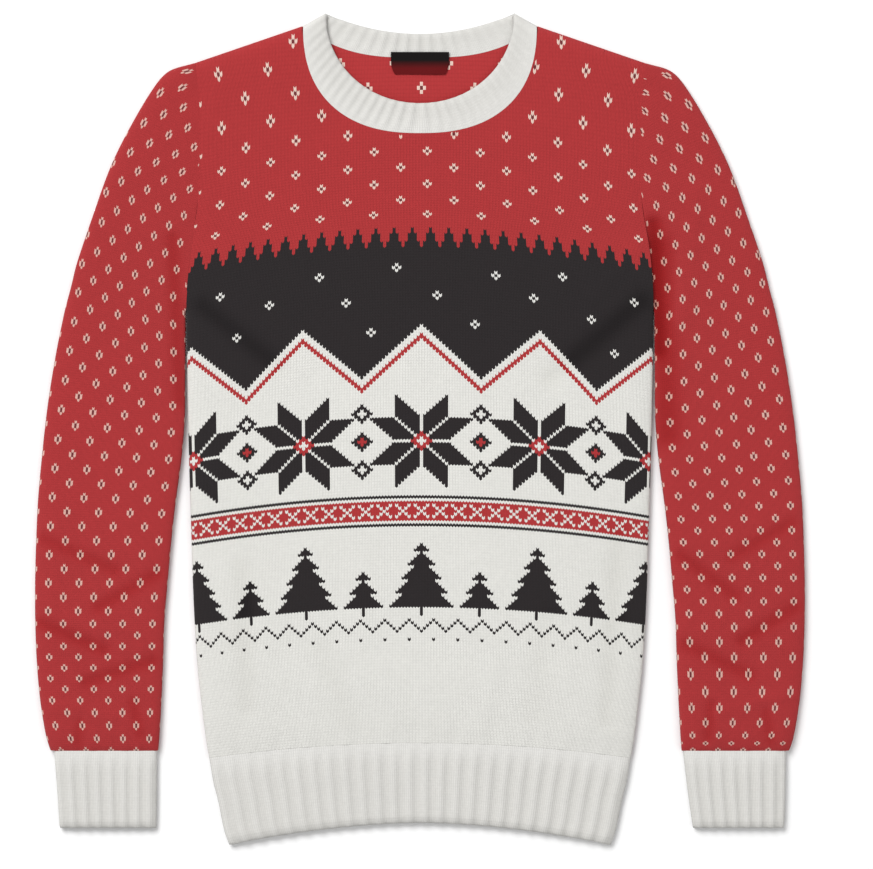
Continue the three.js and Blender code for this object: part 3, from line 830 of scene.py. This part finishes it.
TOOTH_WIDTHS = [5, 5, 3, 3, 3, 1, 1]
YOKE_START = 9


def wave(position, step):
    """Distance from the nearest peak of a zigzag."""
    return np.abs((position + step // 2) % step - step // 2)


def fir(dx, dy, tiers):
    """A fir of stepped tiers on a short trunk."""
    tree = (dx == 0) & (dy >= 0) & (dy < TRUNK_ROWS)
    for tier in range(tiers):
        base = TRUNK_ROWS + TIER_ROWS * tier
        half = 2 * (tiers - tier)
        tree |= (dy >= base) & (dy <= base + TIER_ROWS) & (np.abs(dx) <= half - (dy - base))
    return tree


def star(dx, dy, radius):
    """The eight-petalled star of old northern knitting."""
    long = np.maximum(np.abs(dx), np.abs(dy))
    short = np.minimum(np.abs(dx), np.abs(dy))
    return (short >= 1) & (short <= radius // 2) & (long - short >= 1) & (long - short <= radius // 2)


def front_chart(stitch, row):
    """From the rib up: a zigzag over dots, firs, a band of crosses, stars with diamonds between them, a
    zigzag ridge under a dark sky with flakes, and a toothed edge under the spotted yoke."""
    across = stitch - BODY_STITCHES // 2
    yarn = np.full(stitch.shape, WHITE)

    zigzag = wave(across, ZIGZAG_STEP)
    dots = (zigzag == ZIGZAG_STEP // 2) & (row == ZIGZAG_ROW - DOT_DROP)
    yarn[(zigzag + ZIGZAG_ROW == row) | dots] = CHARCOAL

    for firs in FIRS:
        dx = (across + firs["offset"] + FIR_STEP // 2) % FIR_STEP - FIR_STEP // 2
        yarn[fir(dx, row - FIR_ROW, firs["tiers"])] = CHARCOAL

    band = row - BAND_ROW
    yarn[(band >= 0) & (band < BAND_ROWS)] = RED
    crosses = wave(across, CROSS_STEP) == np.abs(band - BAND_ROWS // 2)
    yarn[(band >= 1) & (band < BAND_ROWS - 1) & crosses] = WHITE
    yarn[(band == -2) | (band == BAND_ROWS + 1)] = CHARCOAL

    dx = (across + STAR_STEP // 2) % STAR_STEP - STAR_STEP // 2
    dy = row - STAR_ROW
    yarn[star(dx, dy, STAR_RADIUS)] = CHARCOAL
    size = np.abs(dx) + np.abs(dy)
    yarn[size <= DIAMOND_SIZE] = RED
    yarn[size <= DIAMOND_HEART] = WHITE
    between = across % STAR_STEP - STAR_STEP // 2
    for rise_by in (-DIAMOND_RISE, 0, DIAMOND_RISE):
        size = np.abs(between) + np.abs(dy - rise_by)
        yarn[size <= DIAMOND_SIZE] = CHARCOAL
        yarn[size <= DIAMOND_HEART] = RED if rise_by == 0 else WHITE

    ridge = row + wave(across, STAR_STEP) - PEAK_TOP_ROW
    yarn[(row < TEETH_ROW) & (ridge >= 0)] = CHARCOAL
    yarn[np.isin(ridge, RIDGE_LINE)] = RED

    for flake in FLAKES:
        size = np.abs(across - flake["across"]) + np.abs(row - flake["row"])
        yarn[size == 1] = WHITE

    teeth = row - TEETH_ROW
    yarn[row >= TEETH_ROW] = RED
    from_tip = np.abs(stitch % TOOTH_STEP - TOOTH_STEP // 2)
    for level, width in enumerate(TOOTH_WIDTHS):
        yarn[(teeth == level) & (2 * from_tip < width)] = CHARCOAL
    yoke = teeth > YOKE_START
    yarn[yoke] = spotted(stitch, row, FRONT_SPOTS)[yoke]
    return yarn


def plain(yarn):
    return lambda stitch, row: np.full(stitch.shape, yarn)


def front_lining(stitch, row):
    """The inside of the front, one face to several rows: red above, white below."""
    return np.where(row * LINING_STEP >= TEETH_ROW, RED, WHITE)


def finished_mesh(build, name):
    mesh = bpy.data.meshes.new(name)
    build.to_mesh(mesh)
    build.free()
    return mesh


def placed(name, content):
    """Puts a mesh, light or camera in the scene as an object of that name."""
    item = bpy.data.objects.new(name, content)
    bpy.context.collection.objects.link(item)
    return item


def knit_skin(name, points, gone, shade, chart, per_stitch, skin):
    """A grid of faces laid on the points, one to each half stitch or stitch, coloured by its chart. Faces
    that an armhole or a neckline cuts across are plain red, as no motif is whole there."""
    rows, columns = points.shape[0] - 1, points.shape[1] - 1
    build = bmesh.new()
    bmesh.ops.create_grid(build, x_segments=columns, y_segments=rows, size=0.5)
    mesh = finished_mesh(build, name)
    flat = np.empty(len(mesh.vertices) * 3)
    mesh.vertices.foreach_get("co", flat)
    flat = flat.reshape(-1, 3)
    column = np.rint((flat[:, 0] + 0.5) * columns).astype(int)
    row = np.rint((flat[:, 1] + 0.5) * rows).astype(int)
    place = points[row, column] + np.array([0, HEM_Y, 0])
    mesh.vertices.foreach_set("co", (place * METRES).ravel())
    corner = np.empty(len(mesh.loops), int)
    mesh.loops.foreach_get("vertex_index", corner)
    corner_column, corner_row = column[corner], row[corner]
    cell_column = np.repeat(corner_column.reshape(-1, 4).min(axis=1), 4)
    cell_row = np.repeat(corner_row.reshape(-1, 4).min(axis=1), 4)
    colour = np.ones((len(corner), 4))
    cut = gone[:-1, :-1] | gone[1:, :-1] | gone[:-1, 1:] | gone[1:, 1:]
    yarn = np.where(cut[cell_row, cell_column], RED, chart(cell_column // per_stitch, cell_row))
    colour[:, :3] = YARNS[yarn]
    # Painted shade: the yarn's colour is raised to a power in creases and in rib grooves
    if shade is not None:
        colour[:, :3] **= shade[corner_row, corner_column][:, None]
    mesh.attributes.new("yarn", "FLOAT_COLOR", "CORNER").data.foreach_set("color", colour.ravel())
    half_stitch = corner_column * (2 / per_stitch)
    pattern = np.stack([half_stitch, corner_row], axis=-1).astype(float)
    mesh.uv_layers.new(name="stitches").data.foreach_set("uv", pattern.ravel())
    for label, values in (("column", column), ("row", row), ("gone", gone[row, column]),
                          ("skin", np.full(len(column), skin))):
        mesh.attributes.new(label, "INT", "POINT").data.foreach_set("value", values.astype(int))
    return mesh


# Points closer than this are one point, and an edge shorter than this has no length, in metres.
SAME_PLACE = 2e-6
NO_LENGTH = 1e-7


def knit_piece(name, node, outer, inner, charts, per_stitch, is_tube, free_edge=None):
    """Joins an outer and an inner skin into one closed wall and puts it in the place of its CAD node. Edges
    are crisp where they meet another piece, and only the free edge is round."""
    build = bmesh.new()
    widths = []
    for skin, ((points, gone, shade), chart, per) in enumerate(zip((outer, inner), charts, per_stitch)):
        mesh = knit_skin(name, points, gone, shade, chart, per, skin)
        build.from_mesh(mesh)
        bpy.data.meshes.remove(mesh)
        widths.append(points.shape[1] - 1)
    layer = {label: build.verts.layers.int[label] for label in ("column", "row", "gone", "skin")}
    yarn_layer = build.loops.layers.float_color["yarn"]
    past = [f for f in build.faces if all(v[layer["gone"]] for v in f.verts)]
    bmesh.ops.delete(build, geom=past, context="FACES")

    def on_edge(v):
        ends = v[layer["column"]] in (0, widths[v[layer["skin"]]])
        return v[layer["gone"]] or (is_tube and ends)

    for skin in (0, 1):
        loose = [v for v in build.verts if v[layer["skin"]] == skin and on_edge(v)]
        bmesh.ops.remove_doubles(build, verts=loose, dist=SAME_PLACE)
    bmesh.ops.dissolve_degenerate(build, edges=build.edges[:], dist=NO_LENGTH)

    def chain(edge):
        a, b = edge.verts
        if a[layer["row"]] == 0 and b[layer["row"]] == 0:
            return "bottom"
        if not is_tube:
            last = widths[a[layer["skin"]]]
            if a[layer["column"]] == 0 and b[layer["column"]] == 0:
                return "left"
            if a[layer["column"]] == last and b[layer["column"]] == last:
                return "right"
        return "top"

    chains = {}
    for edge in build.edges:
        if edge.is_boundary:
            chains.setdefault(chain(edge), []).append(edge)
    for place, edges in chains.items():
        for edge in edges:
            edge.smooth = place == free_edge
        between = set(bmesh.ops.bridge_loops(build, edges=edges)["faces"])
        for loop in (loop for face in between for loop in face.loops):
            beside = [other for other in loop.vert.link_loops if other.face not in between]
            loop[yarn_layer] = beside[0][yarn_layer]
    bmesh.ops.recalc_face_normals(build, faces=build.faces[:])
    piece = placed(name, finished_mesh(build, name))
    piece.data.polygons.foreach_set("use_smooth", np.ones(len(piece.data.polygons), bool))
    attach(piece, "root")
    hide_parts(node)
    return piece


# Spacings in metres
FIBRE_SPACING = 0.0006
FLECK_SPACING = 0.003
CLOUD_SPACING = 0.02
LABEL_THREAD_SPACING = 0.0012
# How fuzzy and round the strands are, and how bright the yarn is at its darkest, with what flecks and
# clouds add to that
FUZZ_BUMP = 0.25
LEG_ROUNDNESS = 0.6
COURSE_ROUNDNESS = 0.5
COURSE_SHARE = 0.6
BASE_SHADE = 0.97
FLECK_SHADE = 0.12
CLOUD_SHADE = 0.06


def add_node(tree, kind, settings=None, links=None):
    """Adds a node, sets its properties and plain inputs, and links its other inputs."""
    node = tree.nodes.new(kind)
    for key, value in (settings or {}).items():
        if isinstance(key, str) and hasattr(node, key):
            setattr(node, key, value)
        else:
            node.inputs[key].default_value = value
    for key, socket in (links or {}).items():
        tree.links.new(socket, node.inputs[key])
    return node


def lambswool_knit(name, leg_bump, leg_shade):
    """Woollen-spun lambswool in plain knitting: soft, matt and slightly hairy, with a pale bloom at grazing
    angles, a heathered colour, and rows of V stitches whose legs are round, with painted shade between them."""
    material = bpy.data.materials.new(name)
    material.use_nodes = True
    tree = material.node_tree
    shader = tree.nodes["Principled BSDF"]
    shader.inputs["Roughness"].default_value = 0.95
    shader.inputs["Specular IOR Level"].default_value = 0.05
    shader.inputs["Sheen Weight"].default_value = 0.06
    shader.inputs["Sheen Roughness"].default_value = 0.6

    # Each leg is a rounded strand: highest along its middle and lowest where it meets the next one.
    stitches = add_node(tree, "ShaderNodeUVMap", {"uv_map": "stitches"})
    turned = add_node(tree, "ShaderNodeVectorMath", {"operation": "SCALE", "Scale": np.pi},
                      {0: stitches.outputs["UV"]})
    waves = add_node(tree, "ShaderNodeVectorMath", {"operation": "SINE"}, {0: turned.outputs[0]})
    humps = add_node(tree, "ShaderNodeVectorMath", {"operation": "ABSOLUTE"}, {0: waves.outputs[0]})
    parts = add_node(tree, "ShaderNodeSeparateXYZ", links={0: humps.outputs[0]})
    leg = add_node(tree, "ShaderNodeMath", {"operation": "POWER", 1: LEG_ROUNDNESS},
                   {0: parts.outputs["X"]})
    course = add_node(tree, "ShaderNodeMath", {"operation": "POWER", 1: COURSE_ROUNDNESS},
                      {0: parts.outputs["Y"]})
    length = add_node(tree, "ShaderNodeMath",
                      {"operation": "MULTIPLY_ADD", 1: COURSE_SHARE, 2: 1 - COURSE_SHARE},
                      {0: course.outputs[0]})
    strand = add_node(tree, "ShaderNodeMath", {"operation": "MULTIPLY"},
                      {0: leg.outputs[0], 1: length.outputs[0]})

    # Loose fibres about 0.6 mm apart, and heathering in flecks of about 3 mm and 20 mm.
    place = add_node(tree, "ShaderNodeTexCoord").outputs["Object"]
    fuzz, fleck, cloud = (
        add_node(tree, "ShaderNodeTexNoise", {"Scale": 1 / spacing, "Detail": detail}, {"Vector": place})
        for spacing, detail in ((FIBRE_SPACING, 3.0), (FLECK_SPACING, 2.0), (CLOUD_SPACING, 2.0)))
    flecked = add_node(tree, "ShaderNodeMath",
                       {"operation": "MULTIPLY_ADD", 1: FLECK_SHADE, 2: BASE_SHADE - leg_shade},
                       {0: fleck.outputs["Fac"]})
    heather = add_node(tree, "ShaderNodeMath", {"operation": "MULTIPLY_ADD", 1: CLOUD_SHADE},
                       {0: cloud.outputs["Fac"], 2: flecked.outputs[0]})
    # Painted shade where the legs meet, over the heathered colour
    shade = add_node(tree, "ShaderNodeMath", {"operation": "MULTIPLY_ADD", 1: leg_shade},
                     {0: strand.outputs[0], 2: heather.outputs[0]})
    yarn = add_node(tree, "ShaderNodeAttribute", {"attribute_name": "yarn"})
    tint = add_node(tree, "ShaderNodeVectorMath", {"operation": "SCALE"},
                    {0: yarn.outputs["Color"], "Scale": shade.outputs[0]})
    tree.links.new(tint.outputs[0], shader.inputs["Base Color"])

    raised = add_node(tree, "ShaderNodeMath", {"operation": "MULTIPLY", 1: leg_bump}, {0: strand.outputs[0]})
    height = add_node(tree, "ShaderNodeMath", {"operation": "MULTIPLY_ADD", 1: FUZZ_BUMP},
                      {0: fuzz.outputs["Fac"], 2: raised.outputs[0]})
    bump = add_node(tree, "ShaderNodeBump", {"Strength": 0.6, "Distance": 0.001},
                    {"Height": height.outputs[0]})
    tree.links.new(bump.outputs["Normal"], shader.inputs["Normal"])
    return material


LABEL_WIDTH = 50.0
LABEL_LENGTH = 19.0
LABEL_THICKNESS = 0.8
LABEL_TAPER = 7.0
LABEL_ABOVE_NECK = 4.6
LABEL_TOP = NECK_TOP - BACK_NECK_DROP + LABEL_ABOVE_NECK
LABEL_BAND = 10.0
LABEL_FADE_BELOW = 4
LABEL_FADE_ABOVE = 3
LABEL_LIFT = 0.4
LABEL_OVER_BAND = 1.1
LABEL_ON_BAND_SHARE = 0.6
LABEL_WAVE = 0.3
LABEL_WAVE_WIDTH = 9
LABEL_BLACK = "0c0808"
LABEL_MAROON = "5a0509"


def label_satin():
    """Woven satin label: dense polyester yarn with a soft gloss, near black at the top and maroon below."""
    material = bpy.data.materials.new("woven polyester label")
    material.use_nodes = True
    tree = material.node_tree
    shader = tree.nodes["Principled BSDF"]
    shader.inputs["Roughness"].default_value = 0.6
    shader.inputs["Specular IOR Level"].default_value = 0.1
    place = add_node(tree, "ShaderNodeTexCoord").outputs["Object"]
    parts = add_node(tree, "ShaderNodeSeparateXYZ", links={"Vector": place})
    band = LABEL_TOP - LABEL_BAND
    fade = add_node(tree, "ShaderNodeMapRange",
                    {"From Min": (band + HEM_Y - LABEL_FADE_BELOW) * METRES,
                     "From Max": (band + HEM_Y + LABEL_FADE_ABOVE) * METRES},
                    {"Value": parts.outputs["Y"]})
    blend = add_node(tree, "ShaderNodeMix", {"data_type": "RGBA"})
    blend.inputs["A"].default_value = (*linear(LABEL_MAROON), 1)
    blend.inputs["B"].default_value = (*linear(LABEL_BLACK), 1)
    tree.links.new(fade.outputs["Result"], blend.inputs["Factor"])
    tree.links.new(blend.outputs["Result"], shader.inputs["Base Color"])
    threads = add_node(tree, "ShaderNodeTexWave",
                       {"Scale": 1 / LABEL_THREAD_SPACING, "bands_direction": "Y"}, {"Vector": place})
    bump = add_node(tree, "ShaderNodeBump", {"Strength": 0.3, "Distance": 0.0002},
                    {"Height": threads.outputs["Fac"]})
    tree.links.new(bump.outputs["Normal"], shader.inputs["Normal"])
    return material


def neck_label():
    """A ribbon sewn in at the back of the neck, over the band's edge. Its free end is narrower and waves."""
    build = bmesh.new()
    bmesh.ops.create_grid(build, x_segments=24, y_segments=10, size=0.5)
    for v in build.verts:
        down = 0.5 - v.co.y
        x, y = v.co.x * (LABEL_WIDTH - LABEL_TAPER * down ** 4), v.co.y * LABEL_LENGTH
        over_band = LABEL_OVER_BAND * np.clip(1 - down / LABEL_ON_BAND_SHARE, 0, 1)
        waves = LABEL_WAVE * down * np.sin(x / LABEL_WAVE_WIDTH)
        height = WALL + LABEL_THICKNESS + LABEL_LIFT + over_band + waves
        v.co = (x * METRES, (LABEL_TOP - LABEL_LENGTH / 2 + y + HEM_Y) * METRES, height * METRES)
    piece = placed("woven_label", finished_mesh(build, "woven_label"))
    wall = piece.modifiers.new("thickness", "SOLIDIFY")
    wall.thickness = LABEL_THICKNESS * METRES
    wall.offset = -1
    piece.data.materials.append(label_satin())
    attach(piece, "root")
    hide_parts("neck_label")


def finish_knit(piece, material):
    piece.data.materials.append(material)


SOFTBOXES = named_rows(
    "name place size power",
    ("softbox above", (-2.2, 3.1, 4.5), 3.3, 338),
    ("softbox low", (1.2, -0.9, 2.4), 1.8, 10),
)
STUDIO_STRENGTH = 0.5
FLOOR_HALF = 3
PAPER_WHITE = 0.855


def camera_and_light():
    """The photo looks square down on the garment from far away, and its scale is 0.86 mm to a pixel."""
    photo_scale = 0.86
    photo_width = 873
    off_centre = (14.2, -4.7)
    distance = 3.0
    lens = bpy.data.cameras.new("camera")
    lens.sensor_width = 36
    lens.lens = lens.sensor_width * distance / (photo_scale * photo_width * METRES)
    camera = placed("camera", lens)
    camera.location = (off_centre[0] * METRES, off_centre[1] * METRES, distance)
    bpy.context.scene.camera = camera

    for softbox in SOFTBOXES:
        light = bpy.data.lights.new(softbox["name"], "AREA")
        light.size = softbox["size"]
        light.energy = softbox["power"]
        lamp = placed(softbox["name"], light)
        lamp.location = softbox["place"]
        towards = -np.array(softbox["place"]) / np.linalg.norm(softbox["place"])
        lamp.rotation_mode = "QUATERNION"
        lamp.rotation_quaternion = Vector(towards).to_track_quat("-Z", "Y")

    world = bpy.data.worlds.new("studio")
    world.use_nodes = True
    background = world.node_tree.nodes["Background"]
    background.inputs["Color"].default_value = (1, 1, 1, 1)
    background.inputs["Strength"].default_value = STUDIO_STRENGTH
    bpy.context.scene.world = world
    bpy.context.scene.view_settings.view_transform = "Standard"


def floor():
    """Matt white paper under the garment, which is the stage and not a part of it."""
    build = bmesh.new()
    bmesh.ops.create_grid(build, x_segments=1, y_segments=1, size=FLOOR_HALF)
    ground = placed("floor", finished_mesh(build, "floor"))
    material = bpy.data.materials.new("white paper backdrop")
    material.use_nodes = True
    shader = material.node_tree.nodes["Principled BSDF"]
    shader.inputs["Base Color"].default_value = (PAPER_WHITE, PAPER_WHITE, PAPER_WHITE, 1)
    shader.inputs["Roughness"].default_value = 0.8
    ground.data.materials.append(material)


# The two sides, by name and sign across, with their sleeve's creases, row places, spots and cuff
SIDES = named_rows(
    "name sign creases places spots cuff",
    ("left", -1, LEFT_SLEEVE_CREASES, LEFT_SLEEVE_ROW_PLACES, LEFT_SLEEVE_SPOTS, LEFT_CUFF),
    ("right", 1, RIGHT_SLEEVE_CREASES, RIGHT_SLEEVE_ROW_PLACES, RIGHT_SLEEVE_SPOTS, RIGHT_CUFF),
)

camera_and_light()
floor()

front_wool = lambswool_knit("lambswool plain knit", leg_bump=0.85, leg_shade=0.21)
sleeve_wool = lambswool_knit("lambswool plain knit, sleeves", leg_bump=0.8, leg_shade=0.2)
back_wool = lambswool_knit("lambswool plain knit, back", leg_bump=0.6, leg_shade=0.2)
rib_wool = lambswool_knit("lambswool rib knit", leg_bump=0.35, leg_shade=0.12)
rib_charts = (plain(RIB_WHITE), plain(RIB_WHITE))

front = knit_piece("front_panel", "front", *front_skins(), (front_chart, front_lining),
                   per_stitch=(2, 1), is_tube=False)
finish_knit(front, front_wool)
back = knit_piece("back_panel", "back", *back_skins(), (spotted_chart(BACK_SPOTS), spotted_chart(BACK_SPOTS)),
                  per_stitch=(1, 1), is_tube=False)
finish_knit(back, back_wool)
for side in SIDES:
    name, sign = side["name"], side["sign"]
    cloth = (side["creases"], side["places"], sign)
    sleeve = knit_piece(f"{name}_sleeve_knit", f"{name}_sleeve", sleeve_skin(1, True, *cloth),
                        sleeve_skin(LINING_STEP, False, *cloth), (spotted_chart(side["spots"]), plain(RED)),
                        per_stitch=(2, 1), is_tube=True)
    finish_knit(sleeve, sleeve_wool)
    cuff = knit_piece(f"{name}_cuff_rib", f"{name}_cuff", *cuff_skins(side["cuff"], sign), rib_charts,
                      per_stitch=(2, 2), is_tube=True, free_edge="bottom")
    finish_knit(cuff, rib_wool)
for name, is_front in (("hem_rib_front", True), ("hem_rib_back", False)):
    rib = knit_piece(f"{name}_knit", name, *hem_skins(is_front), rib_charts,
                     per_stitch=(2, 2), is_tube=False, free_edge="bottom")
    finish_knit(rib, rib_wool)
neckband = knit_piece("neckband_rib", "neckband", *neckband_skins(), rib_charts,
                      per_stitch=(2, 2), is_tube=True, free_edge="top")
finish_knit(neckband, rib_wool)
neck_label()
